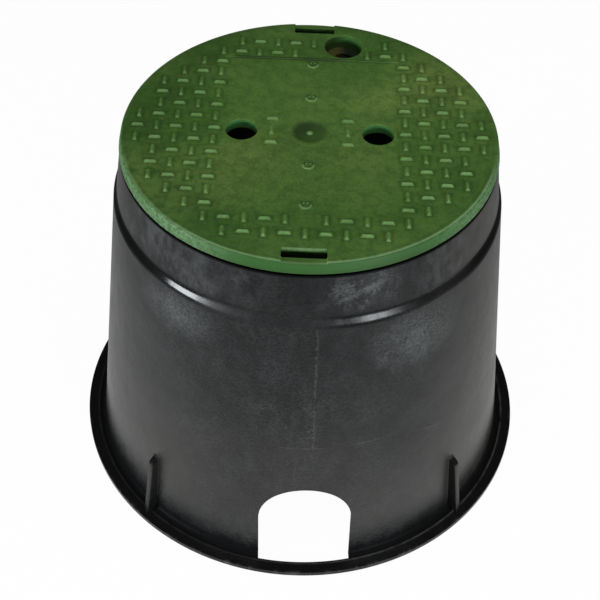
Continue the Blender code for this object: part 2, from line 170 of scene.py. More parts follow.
class Flow:
    def __init__(self, tree, socket=None):
        self.tree = tree
        self.socket = socket

    def node(self, kind, settings=None, values=None, output=0):
        made = self.tree.nodes.new(kind)
        for key, value in (settings or {}).items():
            if key == "stops":
                ramp = made.color_ramp.elements
                while len(ramp) < len(value):
                    ramp.new(1.0)
                for stop, (place, colour) in zip(ramp, value):  # each stop is a grey
                    stop.position = place
                    stop.color = (colour, colour, colour, 1.0)
            else:
                setattr(made, key, value)
        for key, value in (values or {}).items():
            if isinstance(value, Flow):
                self.tree.links.new(value.socket, made.inputs[key])
            else:
                made.inputs[key].default_value = value
        return Flow(self.tree, made.outputs[output])

    def sum(self, operation, *values):
        return self.node("ShaderNodeMath", {"operation": operation}, dict(enumerate(values)))

    def __add__(self, other):
        return self.sum("ADD", self, other)

    def __sub__(self, other):
        return self.sum("SUBTRACT", self, other)

    def __mul__(self, other):
        return self.sum("MULTIPLY", self, other)

    def __truediv__(self, other):
        return self.sum("DIVIDE", self, other)

    def __rsub__(self, other):
        return self.sum("SUBTRACT", other, self)

    def __pow__(self, other):
        return self.sum("POWER", self, other)

    __radd__ = __add__
    __rmul__ = __mul__

    def ramp(self, low, high):
        # 0 below low, 1 above high, and the other way round where low is above high
        settings = {"interpolation_type": "SMOOTHSTEP", "clamp": True}
        if low < high:
            return self.node("ShaderNodeMapRange", settings, {0: self, 1: low, 2: high, 3: 0.0, 4: 1.0})
        return self.node("ShaderNodeMapRange", settings, {0: self, 1: high, 2: low, 3: 1.0, 4: 0.0})

    def between(self, low, full, fullEnd, high):
        # 1 from full to fullEnd, and 0 below low and above high
        return self.ramp(low, full) * self.ramp(high, fullEnd)


def mixed(share, first, second):
    # Colours mix by share: 0 is the first, 1 the second
    values = {0: share, 6: first, 7: second}
    return share.node("ShaderNodeMix", {"data_type": "RGBA"}, values, 2)


def away(value):
    return value.sum("ABSOLUTE", value)


def highest(first, *others):
    for other in others:
        first = first.sum("MAXIMUM", first, other)
    return first


def distance(u, v):
    return (u * u + v * v) ** 0.5


def inMm(metres):
    return [value * 1000.0 for value in metres]


def noise(place, scale, detail, rough, stretch=None):
    # A cloud texture of about 1 / scale metres, drawn out along an axis where stretch is given
    if stretch:
        place = place.node("ShaderNodeVectorMath", {"operation": "MULTIPLY"}, {0: place, 1: stretch})
    values = {"Vector": place, "Scale": scale, "Detail": detail, "Roughness": rough}
    return place.node("ShaderNodeTexNoise", {}, values)


def newMaterial(name, specular):
    # A plain material, its place on the piece in metres, and the same as x, y and height in mm
    material = bpy.data.materials.new(name)
    material.use_nodes = True
    shader = material.node_tree.nodes["Principled BSDF"]
    shader.inputs["Specular IOR Level"].default_value = specular
    place = Flow(material.node_tree).node("ShaderNodeTexCoord", output="Object")
    axes = place.tree.nodes.new("ShaderNodeSeparateXYZ")
    place.tree.links.new(place.socket, axes.inputs[0])
    x, y, height = (Flow(place.tree, axes.outputs[k]) * 1000.0 for k in range(3))
    return material, shader, place, x, y, height


def feed(shader, name, flow):
    flow.tree.links.new(flow.socket, shader.inputs[name])


def bumped(height, metres, under=None):
    # A bump of the given metres where height is 1, on top of a coarser bump's normal
    values = {"Height": height, "Distance": metres, "Strength": 1.0}
    if under:
        values["Normal"] = under
    return height.node("ShaderNodeBump", {}, values)


# Finishes: masks run from 0 to 1, lengths are in mm, and azimuths in degrees, from the front to the right

def patch(across, up, middle, half, edge):
    # 1 inside an ellipse and 0 outside it: sqrt(u^2 + v^2) fades from 1 - edge to 1 + edge
    u = (across - middle[0]) / half[0]
    v = (up - middle[1]) / half[1]
    return distance(u, v).ramp(1.0 + edge, 1.0 - edge)


blackFinish = {
    "base": (0.0040, 0.0040, 0.0042, 1.0),
    "hazeAndSheen": (0.070, 0.074, 0.073, 1.0),
    "dust": (0.104, 0.094, 0.078, 1.0),
    "scratchAndHighlight": (0.20, 0.20, 0.195, 1.0),
    "roughness": 0.34,
    "specular": 0.30,
    "dullRoughness": 0.60,
    "dullSpecular": 0.02,
    "wobble": 14.0,
    # Scuffs and painted sheen: sway with the clouds, middle, half size and softness, across in azimuth and up
    # in height
    "scuffsAndSheens": {
        "right": (1.6, (34.0, 193.0), (10.0, 17.0), 0.95),
        "neck": (1.0, (17.5, 241.0), (8.5, 11.0), 0.90),
        "left": (1.2, (-37.0, 201.0), (9.0, 12.0), 0.95),
        "middle": (2.0, (-1.0, 148.0), (8.0, 18.0), 0.8),
    },
    # A wisp of painted sheen on the neck: middle, half size and softness
    "wisp": ((17.0, 240.0), (6.0, 2.6), 0.8),
    "wispSlope": 0.9,
    "shoulder": (214.5, 216.5, 222.0, 224.0),
    "partingLine": 4.4,
    "smear": 3.4,
    "levelMark": 113.6,
    "longScratch": (24.0, 114.5, 0.75),  # where it starts, and its fall in mm for each degree
    "crease": 156.6,
}


def blackPlastic():
    look = blackFinish
    material, shader, place, x, y, height = newMaterial("black_polyethylene", look["specular"])
    azimuth = x.sum("ARCTAN2", x, y * -1.0) * (180.0 / math.pi)
    radius = distance(x, y)
    # What differs between left and right fades out towards the back, where the azimuth jumps
    facing = away(azimuth).ramp(165.0, 110.0)
    toRight = azimuth.ramp(-10.0, 10.0) * facing
    belowLid, aboveFoot = height.ramp(254.0, 251.0), height.ramp(4.0, 14.0)
    step = height.between(*look["shoulder"])
    cloud = noise(place, 38.0, 5.0, 0.6)
    drift = noise(place, 14.0, 3.0, 0.5)
    streak = noise(place, 120.0, 5.0, 0.65, (1.0, 1.0, 0.55))
    grain = noise(place, 480.0, 3.0, 0.65, (1.0, 1.0, 1.5))
    fine = noise(place, 1200.0, 2.0, 0.6)
    wobble = (cloud - 0.5) * look["wobble"]
    # Painted sheen on the wall and the neck, in scuffed patches and a wisp, and lighter chalky places
    scuffsAndSheens = {name: patch(azimuth + wobble, height + wobble * sway, *form)
              for name, (sway, *form) in look["scuffsAndSheens"].items()}
    leaning = height - (azimuth - look["wisp"][0][0]) * look["wispSlope"] + wobble * 0.3
    wisp = patch(azimuth + wobble * 0.5, leaning, *look["wisp"])
    neck = scuffsAndSheens["neck"] * (0.25 + streak.ramp(0.46, 0.60) * 0.95)
    paintedSheen = highest(scuffsAndSheens["right"], neck * 0.85, scuffsAndSheens["left"] * 0.80, wisp * 1.3)
    hazeAndSheen = streak.ramp(0.38, 0.72) * 0.15 + grain.ramp(0.35, 0.68) * 0.28
    hazeAndSheen = hazeAndSheen * (0.35 + cloud.ramp(0.30, 0.70) * 0.65)
    hazeAndSheen = hazeAndSheen * belowLid * aboveFoot * (0.86 - height.ramp(130.0, 200.0) * 0.12 - step * 0.6)
    hazeAndSheen = hazeAndSheen * (1.0 - height.ramp(222.0, 224.0) * 0.30)
    hazeAndSheen = hazeAndSheen + paintedSheen * (0.10 + grain.ramp(0.32, 0.68) * 0.70 + cloud.ramp(0.35, 0.65) * 0.40)
    # The neck's sides are clouded lighter, partly a painted reflection, and the shoulder is matt and painted
    # lighter in front, where it shows least
    clouded = streak.ramp(0.36, 0.64) * cloud.ramp(0.30, 0.62) * height.ramp(222.5, 228.0) * belowLid
    sides = azimuth.ramp(-4.0, -34.0) * 0.47 + azimuth.ramp(26.0, 46.0) * 0.45
    matt = step * azimuth.between(-34.0, -22.0, 4.0, 12.0)
    lowRight = azimuth.ramp(4.0, 26.0) * facing * height.between(10.0, 30.0, 60.0, 110.0)
    hazeAndSheen = hazeAndSheen + clouded * sides * facing + matt * (0.02 + grain * 0.16) + lowRight * 0.08
    colour = mixed(hazeAndSheen, look["base"], look["hazeAndSheen"])
    dusty = height.between(12.0, 40.0, 60.0, 170.0) * (0.04 + drift.ramp(0.3, 0.7) * 0.08)
    sideDust = azimuth.ramp(30.0, 65.0) * (0.12 + height.ramp(222.0, 226.0) * 0.12)
    sideDust = (sideDust + azimuth.ramp(-55.0, -80.0) * 0.06) * facing * aboveFoot
    colour = mixed(dusty + sideDust, colour, look["dust"])
    # The mould's parting line, a level mark, and the long scratch that runs down from it
    seam = away(azimuth - look["partingLine"] + (cloud - 0.5) * 1.2 + (grain - 0.5) * 0.9).ramp(0.55, 0.0)
    seam = seam * height.between(108.0, 118.0, 212.0, 217.0)
    level = away(height - look["levelMark"] + (drift - 0.5) * 3.0).ramp(0.8, 0.1)
    level = level * azimuth.between(-8.0, -4.0, 27.0, 33.0)
    startAt, startHeight, slope = look["longScratch"]
    fall = away(height - startHeight + (azimuth - startAt) * slope + (drift - 0.5) * 4.0).ramp(0.8, 0.1)
    fall = fall * azimuth.between(22.0, 26.0, 42.0, 46.0)
    # Worn places: the flange's edge, scuffs in mid-wall and a smear beside the parting line. A painted
    # highlight runs along the crease at the wall's foot, stronger on the right
    worn = radius.ramp(161.8, 163.6) * streak.ramp(0.5, 0.66) * height.ramp(5.0, 3.0)
    crease = away(radius - look["crease"]).ramp(1.0, 0.3) * height.ramp(6.5, 4.2) * streak.ramp(0.20, 0.65)
    rubbed = scuffsAndSheens["middle"] * fine.ramp(0.50, 0.72) * streak.ramp(0.42, 0.62)
    smear = away(azimuth - look["smear"] + (cloud - 0.5) * 2.0).ramp(2.6, 0.0)
    smear = smear * height.between(112.0, 122.0, 130.0, 165.0)
    marks = highest(
        seam * grain.ramp(0.35, 0.65) * 0.16,
        (level + fall) * cloud.ramp(0.35, 0.6) * 0.12,
        worn * 0.22,
        crease * (0.08 + azimuth.ramp(-20.0, 20.0) * facing * 0.20),
        rubbed * 0.20,
        smear * grain.ramp(0.3, 0.7) * 0.07,
    )
    colour = mixed(marks, colour, look["scratchAndHighlight"])
    # Painted shade: each rib's sides and cap are painted as black as the bare plastic, more on the box's
    # right, and they are duller than the wall. Ribs are at right angles to each other, so the distance from
    # the nearest rib's middle is about |along * aside| / radius
    past = radius - boxWall(height * 0.001) * 1000.0
    proud = past.ramp(0.8, 1.6)
    ribTurn = box["turn"] + math.pi / gusset["count"]
    along = x * math.cos(ribTurn) + y * math.sin(ribTurn)
    aside = y * math.cos(ribTurn) - x * math.sin(ribTurn)
    offRib = away(along * aside) / radius
    side = offRib.ramp(1.7, 2.2) * past.ramp(0.05, 0.3) * height.ramp(8.2, 9.5) * (0.66 + toRight * 0.24)
    ribShadeAndDull = height.ramp(60.0, 58.0) * highest(side, proud * highest(height.ramp(51.8, 53.2) * 0.97, 0.24))
    colour = mixed(ribShadeAndDull * 0.9, colour, look["base"])
    # Painted shade: the shoulder's sides are painted plain black, and so is the neck's top edge under the
    # lid's skirt
    plain = height.between(214.0, 215.0, 223.2, 224.2) * away(azimuth).ramp(40.0, 60.0)
    plain = highest(plain, height.ramp(251.7, 252.7))
    colour = mixed(plain * 0.95, colour, look["base"])
    feed(shader, "Base Color", colour)
    polished = height.between(213.0, 216.5, 222.5, 225.0) * (1.0 - matt)
    uneven = (streak * 0.12 + fine * 0.06 + hazeAndSheen * 0.16) * (1.0 - polished * 0.8)
    uneven = uneven - height.ramp(75.0, 30.0) * 0.14
    feed(shader, "Roughness", look["roughness"] + uneven - polished * (0.20 - toRight * 0.11))
    waves = bumped(drift, 0.0022)
    bump = bumped((grain - 0.5 + (cloud - 0.5) * 2.0) * (1.0 - step * 0.94), 0.00018, waves)
    feed(shader, "Normal", bump)
    # The flange, the fillet, the ribs and part of the shoulder are duller: a second surface that mirrors less
    # takes over there
    rubbedStep = step * azimuth.ramp(-6.0, 6.0) * facing * (0.08 + streak.ramp(0.35, 0.65) * 0.34)
    fillet = height.ramp(13.0, 8.5) * radius.ramp(157.5, 156.5) * highest(1.0 - proud, height.ramp(8.5, 8.0))
    dull = highest(height.ramp(4.5, 3.9) * 0.34, fillet * 0.97, rubbedStep, ribShadeAndDull, plain * 0.88)
    values = {"Base Color": colour, "Normal": bump, "Roughness": look["dullRoughness"],
              "Specular IOR Level": look["dullSpecular"]}
    second = place.node("ShaderNodeBsdfPrincipled", {}, values)
    both = place.node("ShaderNodeMixShader", {}, {0: dull, 1: Flow(place.tree, shader.outputs[0]), 2: second})
    place.tree.links.new(both.socket, place.tree.nodes["Material Output"].inputs["Surface"])
    return material


greenFinish = {
    "clean": (0.074, 0.196, 0.034, 1.0),
    "walked": (0.075, 0.182, 0.027, 1.0),
    # The skirt's green is darker than the top's: painted shade
    "skirt": (0.026, 0.092, 0.017, 1.0),
    # Pale green for painted highlights and painted light on edges and the skirt's sides
    "edge": (0.240, 0.400, 0.200, 1.0),
    # Pale green for wear, and for painted highlights on rings and bars
    "worn": (0.180, 0.340, 0.125, 1.0),
    "soil": (0.168, 0.266, 0.058, 1.0),
    "teal": (0.060, 0.330, 0.110, 1.0),
    "deepShade": (0.003, 0.010, 0.003, 1.0),
    "grimeAndShade": (0.018, 0.040, 0.008, 1.0),
    "mud": (0.064, 0.056, 0.016, 1.0),
    "roughness": 0.46,
    "specular": 0.24,
    "wobble": 26.0,
    # Stains of soil: middle, half size and softness in plan, and strength
    "stains": (
        ((84.0, 50.0), (30.0, 34.0), 0.7, 1.0),
        ((42.0, 34.0), (17.0, 15.0), 0.8, 1.0),
        ((-38.0, -34.0), (24.0, 20.0), 0.8, 0.8),
        ((-52.0, -62.0), (20.0, 16.0), 0.8, 0.7),
        ((-42.0, -6.0), (15.0, 26.0), 0.8, 0.5),
    ),
}


def roundBars(x, y):
    # The nearest bar's number is x / pitch rounded, and so for y. Painted shade is 1 beside it and 0 from 2.2
    # mm away
    pitchX, pitchY = inMm(tread["pitch"])
    i = (x / pitchX).sum("ROUND", x / pitchX)
    j = (y / pitchY).sum("ROUND", y / pitchY)
    barX, barY = i * pitchX, j * pitchY
    lying = (i + j).sum("PINGPONG", i + j, 1.0)
    halfLong, halfWide = tread["length"] * 500.0, tread["width"] * 500.0
    halfX = lying * (halfLong - halfWide) + halfWide
    halfY = halfLong - lying * (halfLong - halfWide)
    pastX, pastY = away(x - barX) - halfX, away(y - barY) - halfY
    beside = highest(pastX, pastY)
    # The front slope is where the front edge is the nearest one, and the ridge is the innermost part
    # The front slope is painted pale as a painted highlight, and the ridge as wear
    front = (pastY - pastX).ramp(-0.5, 0.5) * (y - barY).ramp(0.3, -0.3) * beside.ramp(0.1, -1.0)
    rubbed = highest(front, beside.ramp(-0.9, -1.5) * 0.55)
    onPanel = away(away(i) - 2.0).ramp(0.4, 0.1) * away(j).ramp(1.4, 1.1)
    # A bar stands where its middle is off the panel, inside the edge, and clear of the windows and the pocket
    panelX, panelY = inMm(lid["panel"][:2])
    boltX, boltY = inMm(lid["bolt"])
    farX, farY = away(barX), away(barY)
    stands = highest(farX - panelX, farY - panelY).ramp(0.0, 0.1)
    stands = stands * (distance(farX, farY) - (lid["edge"] - tread["margin"]) * 1000.0).ramp(0.1, 0.0)
    besideWindow = farX - halfX - (lid["window"][0] + tread["toWindow"]) * 1000.0
    shortOfWindow = (lid["window"][1] - tread["toWindow"]) * 1000.0 - farY - halfY
    stands = stands * highest(besideWindow, shortOfWindow).ramp(0.0, 0.1)
    stands = stands * highest(farX - 1.0, farY - panelY - pitchY).ramp(0.0, 0.1)
    toBolt = distance(highest(away(barX - boltX) - halfX, 0.0), highest(away(barY - boltY) - halfY, 0.0))
    stands = stands * (toBolt - (lid["pocket"][0] + tread["toPocket"]) * 1000.0).ramp(-0.1, 0.0)
    return beside.ramp(2.2, 0.3) * stands, rubbed * highest(stands, onPanel)


def ringLightAndShade(x, y):
    # Round each ejector mark: painted shade on the ring's far half and darker in its middle, and a painted
    # highlight on its near half and its dots
    dotX, dotY = inMm(ringMark["dotAt"])
    dark, light = [], []
    for atX, atY in map(inMm, ringMark["at"]):
        offX, offY = x - atX, y - atY
        fromMiddle = distance(offX, offY)
        ring = away(fromMiddle - ringMark["radius"] * 1000.0)
        nearHalf = offY.ramp(1.0, -1.0)
        dots = distance(away(offX) - dotX, offY - dotY).ramp(0.9, 0.3)
        dark.append(highest(ring.ramp(1.3, 0.2) * (1.0 - nearHalf), (fromMiddle - 2.2).ramp(0.3, -0.6) * 0.4))
        light.append(highest(ring.ramp(0.9, 0.1) * nearHalf, dots * 0.8))
    return highest(*dark), highest(*light)


def greenPlastic():
    look = greenFinish
    material, shader, place, x, y, height = newMaterial("green_polyethylene", look["specular"])
    panelX, panelY = inMm(lid["panel"][:2])
    boltX, boltY = inMm(lid["bolt"])
    fingerX, fingerR = inMm(lid["finger"])
    windowX, windowBack, windowFront = inMm(lid["window"])
    pocketR = lid["pocket"][0] * 1000.0
    radius = distance(x, y)
    depth = lid["top"] * 1000.0 - height
    top = depth.ramp(1.9, 0.9)
    cloud = noise(place, 30.0, 5.0, 0.6)
    drift = noise(place, 11.0, 3.0, 0.5)
    mottle = noise(place, 150.0, 4.0, 0.65)
    speck = noise(place, 480.0, 2.0, 0.6)
    fine = noise(place, 1100.0, 3.0, 0.6)
    wobble = (cloud - 0.5) * look["wobble"]
    # Olive on the walked top, with soil in stains and on the panel, and lighter and darker clouds
    colour = mixed(top * (0.80 + (mottle - 0.5) * 0.7), look["clean"], look["walked"])
    stains = 0.0
    for *form, strength in look["stains"]:
        stains = stains + patch(x + wobble, y + wobble, *form) * strength
    stains = stains * (0.35 + mottle * 0.9) * drift.ramp(0.25, 0.6)
    trodden = highest(away(x) / panelX, away(y) / panelY).ramp(1.15, 0.70) * (0.5 + cloud)
    for share, tint in (
            (stains * 0.95, "soil"),
            (trodden * (0.20 + y.ramp(20.0, -30.0) * 0.10), "soil"),
            (radius.ramp(70.0, 108.0) * (0.10 + x.ramp(-20.0, -80.0) * 0.28), "grimeAndShade"),
            (mottle.ramp(0.62, 0.36) * 0.30, "grimeAndShade"),
            (speck.ramp(0.62, 0.38) * 0.22, "grimeAndShade"),
            (cloud.ramp(0.45, 0.70) * mottle.ramp(0.30, 0.70) * 0.16, "grimeAndShade"),
            (drift.ramp(0.42, 0.66) * mottle.ramp(0.25, 0.65) * 0.40, "soil")):
        colour = mixed(share * top, colour, look[tint])
    # Painted shade in the gate's dish, lighter at its front right, along the panel's back edge and round rings
    # and bars
    backEdgeShadow = away(y - panelY - 0.3).ramp(2.0, 0.6) * x.between(-panelX, 8.0 - panelX, panelX - 8.0, panelX)
    backEdgeShadow = backEdgeShadow * (0.55 + x.ramp(32.0, 12.0) * 0.45)
    dish = radius.between(1.6, 2.8, 8.5, 13.4) * (0.60 + (y * 0.7 - x * 0.4).ramp(-8.0, 8.0) * 0.40)
    ringShade, ringHighlights = ringLightAndShade(x, y)
    barShade, barHighlightAndWear = roundBars(x, y)
    paintedShade = highest(dish * 0.97, backEdgeShadow * 0.85, ringShade * 0.60, barShade * 0.36)
    paintedShade = paintedShade * depth.between(-0.4, -0.1, 2.2, 3.2) * (0.7 + cloud * 0.5)
    # Painted shade: the bolt pocket is painted darker downwards and on its left, and black where its floor is
    # unlit;
    # its floor also holds brown soil. Painted light: the finger holes' walls and the pocket's right side are a
    # lighter teal
    offX, offY = x - boltX, y - boltY
    pocket = distance(offX, offY).ramp(pocketR + 0.6, pocketR + 0.2)
    pocketFloor = pocket * depth.ramp(8.7, 9.4)
    hole = distance(away(x) - fingerX, y).ramp(fingerR + 0.7, fingerR + 0.2)
    litHoleWalls = highest(hole, pocket * offX.ramp(-9.0, 4.0) * 0.6) * depth.between(0.8, 1.7, 4.7, 8.7)
    unlit = highest(offX.ramp(-5.0, 3.0), offY.ramp(1.0, -4.0))
    # Painted shade: the windows are painted black inside. Painted highlights: their lit edge is pale, and so
    # are the bars' front slopes, with wear on their ridges
    fromX, fromBack, fromFront = away(x) - windowX, away(y) - windowBack, away(y) - windowFront
    slot = fromX.ramp(0.5, 0.2) * fromBack.ramp(-0.5, -0.2) * fromFront.ramp(0.5, 0.2)
    shaded = highest(depth.ramp(1.3, 4.7), y.ramp(0.0, 50.0) * depth.ramp(0.5, 2.1) * (1.2 - mottle * 0.7))
    lip = fromX.ramp(-0.2, -1.0) * away(fromBack + 0.3).ramp(0.9, 0.3) * depth.ramp(2.2, 1.5)
    rubbed = barHighlightAndWear * depth.ramp(0.3, -0.3) * (0.10 + mottle * 0.7 + cloud.ramp(0.35, 0.65) * 0.5)
    for share, tint in (
            (radius.ramp(2.2, 1.4) * 0.8, "worn"),
            (paintedShade, "grimeAndShade"),
            (ringHighlights * 0.75, "worn"),
            (litHoleWalls * (0.10 + mottle * 0.6), "teal"),
            (pocket * highest(depth.ramp(2.7, 6.7), offX.ramp(3.0, -8.0)) * 0.88, "grimeAndShade"),
            (pocketFloor * (0.5 + mottle * 0.7), "mud"),
            (pocketFloor * unlit * 0.92, "deepShade"),
            (slot * shaded * 0.94, "deepShade"),
            (lip * y.ramp(0.0, -50.0) * (0.1 + mottle * 0.6), "edge"),
            (rubbed * (0.72 + y.ramp(10.0, -70.0) * 0.28) * 0.75, "worn")):
        colour = mixed(share, colour, look[tint])
    # The skirt is painted a darker green than the top, a painted shade, and darker towards its foot. Painted
    # light: its sides are paler, and a painted highlight runs along the lid's edge at the front, with a thin
    # dark line inside it
    outer = radius.ramp(118.8, 119.8)
    onSkirt = highest((1.0 - top) * outer, radius.ramp(119.2, 119.7))
    colour = mixed(onSkirt, colour, mixed(depth.ramp(3.2, 7.2) * 0.35, look["skirt"], look["grimeAndShade"]))
    paintedSideLight = x.ramp(-30.0, -85.0) * 0.42 + x.ramp(60.0, 105.0) * 0.36
    dark = away(radius - 116.9 + (mottle - 0.5) * 0.5).ramp(0.6, 0.1) * cloud.ramp(0.35, 0.6)
    paintedEdgeHighlight = radius.between(118.1, 118.7, 119.4, 120.0) * depth.ramp(2.1, 1.3) * y.ramp(-12.0, -48.0)
    paintedEdgeHighlight = paintedEdgeHighlight * (1.0 - fromX.ramp(0.5, -1.0) * 0.6) * (1.0 - x.ramp(-60.0, -100.0) * 0.5)
    for share, tint in (
            (onSkirt * paintedSideLight * (0.25 + speck.ramp(0.35, 0.65) * 0.75), "edge"),
            (dark * top * 0.35, "grimeAndShade"),
            (paintedEdgeHighlight * (0.25 + mottle * 0.6), "edge")):
        colour = mixed(share, colour, look[tint])
    feed(shader, "Base Color", colour)
    feed(shader, "Roughness", look["roughness"] + mottle * 0.14 + fine * 0.05 - outer * 0.06)
    waves = bumped(drift + cloud * 0.4, 0.0010)
    feed(shader, "Normal", bumped(fine + mottle * 2.0, 0.00014, waves))
    return material


# The box: its section is carried round the axis, and the two arches are left open in the grid

box = {
    "turn": math.radians(2.8),  # the arches' turn from the lid's axes
    "wall": 0.0035,
    "wallFoot": 0.1517,
    "wallTop": 0.1282,
    "wallHeight": 0.2159,
    "neckFoot": (0.1256, 0.2227),
    "shoulder": ((0.1281, 0.2174), (0.12572, 0.2215)),
    "shoulderRound": (0.0, 0.0017, 0.0015, 0.0),
    "shoulderEnds": 0.004,  # how far its curves reach down the wall and up the neck
    "neckLean": 0.1356,
    "ledge": (0.1215, 0.2532),
    "rim": (0.1173, 0.1141, 0.2589),  # outer and inner radius, and height
    "shelf": (0.2497, 0.2467),
    "neckRound": 0.0006,
    "crease": 0.155255,
    "fillet": 0.0044,
    "flange": (0.164055, 0.0036),
    "archHalf": 0.0318,
    "archTop": 0.0730,
    "archRoom": 0.0450,
    "archRows": 0.013,  # rows bend towards the arches from this far above them
    "moulded": 0.00045,
}


def boxWall(z):
    # The wall's outer radius falls evenly with height. A shader's value may be given too
    return box["wallFoot"] - (box["wallFoot"] - box["wallTop"]) * z / box["wallHeight"]


def boxGrid():
    # Rows run down the outside and up the inside. Columns stand at fixed x across each arch, x = half sin(t),
    # so that its sides fall on them, and at even angles between. Rows above an arch end on its edge, which is
    # z = spring + sqrt(half^2 - x^2)
    half, room = box["archHalf"], box["archRoom"]
    spring = box["archTop"] - half
    inArch = half * np.sin(np.linspace(-math.pi / 2, math.pi / 2, 31))
    beside = np.linspace(half, room, 8)[1:]
    across = np.concatenate([-beside[::-1], inArch, beside])
    overArch = spring + np.sqrt(np.maximum(half ** 2 - np.minimum(np.abs(across), half) ** 2, 0.0))
    sideCount = 88
    columns = 2 * len(across) + 2 * sideCount
    archStarts = (0, len(across) + sideCount)
    archTop = np.full(columns, spring)
    for start in archStarts:
        archTop[start:start + len(across)] = overArch

    lean = math.atan2(box["wallFoot"] - box["wallTop"], box["wallHeight"])
    flangeR, flangeT = box["flange"]
    rise = flangeT + box["fillet"]
    sweep = np.linspace(math.pi + lean, 1.5 * math.pi, 7)
    foot = np.stack([box["crease"] + box["fillet"] * np.cos(sweep), rise + box["fillet"] * np.sin(sweep)], -1)
    rimOut, rimIn, rimTop = box["rim"]
    shelfTop, shelfFoot = box["shelf"]
    wall = box["wall"]
    over = box["archTop"] + box["archRows"]
    ends = box["shoulderEnds"]
    upper = np.linspace(box["wallHeight"] - ends, over, 22)
    lower = np.linspace(spring, foot[0, 1], 11)[1:-1]
    lowerInside = np.linspace(0.0, spring, 11)[:-1]

    def plain(r, z):
        # The same (radius, height) line in every column
        line = np.stack([r, z], -1)
        return np.broadcast_to(line[:, None], (len(z), columns, 2))

    def wallRows(z, inset):
        # The wall's cone, moved inwards
        return plain(boxWall(z) - inset, z)

    # The shoulder: the wall's top corner and the neck's foot are curves of their own
    neckFootR, neckFootZ = box["neckFoot"]
    ledgeR, ledgeZ = box["ledge"]
    wallEnd = box["wallHeight"] - ends
    neckStart = (neckFootR - ends * box["neckLean"], neckFootZ + ends)
    shoulderLine = np.array([(boxWall(wallEnd), wallEnd), *box["shoulder"], neckStart])
    shoulder = softCorners(shoulderLine, box["shoulderRound"], 6)[1:-1]
    # The neck's top corner is round: it turns in under the lid's skirt
    neckLine = [(rimOut, ledgeZ), (ledgeR, ledgeZ), (neckFootR, neckFootZ)]
    neckTop = softCorners(neckLine, (0.0, box["neckRound"], 0.0), 5)[1:-1]
    neckZ = np.linspace(neckTop[-1, 1], neckFootZ + ends, 9)[1:]
    neckR = np.interp(neckZ, [neckFootZ, ledgeZ], [neckFootR, ledgeR])
    shelfR = np.interp(shelfFoot, [neckFootZ, ledgeZ], [neckFootR, ledgeR])
    t = np.linspace(0.0, 1.0, 13)[1:, None]
    archZ = over + (archTop[None, :] - over) * t
    archOut = np.stack([boxWall(archZ), archZ], -1)
    archIn = np.stack([boxWall(archZ) - wall, archZ], -1)[::-1]
    downOutside = [
        plain(np.array([rimIn, rimOut, rimOut]), np.array([rimTop, rimTop, ledgeZ])),
        plain(neckTop[:, 0], neckTop[:, 1]),
        plain(neckR, neckZ),
        plain(shoulder[::-1, 0], shoulder[::-1, 1]),
        wallRows(upper, 0.0),
        archOut,
        wallRows(lower, 0.0),
        plain(foot[:, 0], foot[:, 1]),
        plain(np.array([flangeR, flangeR, box["crease"]]), np.array([flangeT, 0.0, 0.0])),
    ]
    upInside = [
        wallRows(lowerInside, wall),
        archIn,
        wallRows(upper[::-1], wall),
        plain(np.array([box["wallTop"], neckFootR, shelfR]) - wall,
              np.array([box["wallHeight"], neckFootZ, shelfFoot])),
        plain(np.array([rimIn]), np.array([shelfTop])),
    ]
    rows = np.concatenate(downOutside + upInside)
    r, z = rows[..., 0], rows[..., 1]
    front = np.arcsin(across[None, :] / r[:, :1])
    edge = np.arcsin(room / r[:, :1])
    side = edge + (math.pi - 2 * edge) * (np.arange(sideCount)[None, :] + 1) / (sideCount + 1)
    columnsAt = np.concatenate([front, side, math.pi + front, math.pi + side], 1)
    # Over an arch the radius changes from column to column, so the angle is worked out again there
    for start, halfTurn in zip(archStarts, (0.0, math.pi)):
        span = slice(start, start + len(across))
        columnsAt[:, span] = halfTurn + np.arcsin(across[None, :] / r[:, span])
    angle = columnsAt - math.pi / 2 + box["turn"]
    points = np.stack([r * np.cos(angle), r * np.sin(angle), z], -1)

    # The arches are left out of the grid, from their edge to the crease outside and from the foot to the edge
    # inside. Quads close the cut round each arch and at the flange, and a flat face closes it at each side
    outerCounts = np.cumsum([len(part) for part in downOutside])
    archEdge = outerCounts[-4] - 1
    creaseTop = outerCounts[-2] - 1
    creaseFoot = outerCounts[-1] - 1
    innerArchEdge = outerCounts[-1] + len(lowerInside)
    count = len(rows)
    cells = gridFaces(count, columns).reshape(count, columns, 4)
    keep = np.ones((count, columns), bool)
    extra = []
    for start in (place + len(beside) for place in archStarts):
        stop = start + len(inArch) - 1
        keep[archEdge:creaseTop, start:stop] = False
        keep[creaseFoot:innerArchEdge, start:stop] = False
        j = np.arange(start, stop)
        for a, b in ((archEdge, innerArchEdge), (creaseTop, creaseFoot)):
            band = np.stack([a * columns + j, a * columns + j + 1, b * columns + j + 1, b * columns + j], -1)
            extra += band.tolist()
        ring = np.concatenate([np.arange(archEdge, creaseTop + 1), np.arange(creaseFoot, innerArchEdge + 1)])
        extra += [(ring * columns + column).tolist() for column in (start, stop)]
    return points.reshape(-1, 3), cells[keep].tolist() + extra


gusset = {
    "count": 4,
    "thick": 0.0045,
    "top": 0.0568,
    "start": 0.0002,  # how far out of the wall the cap starts
    "drop": 0.0036,
    "reach": 0.0056,
    "setback": 0.0040,
    "toe": (0.0008, 0.0030, 0.0006),  # the nose's last stretch: its lean, its height and how far it is sunk
    "fillet": 0.0004,
    "sunk": 0.0012,
    "round": 0.0009,
}


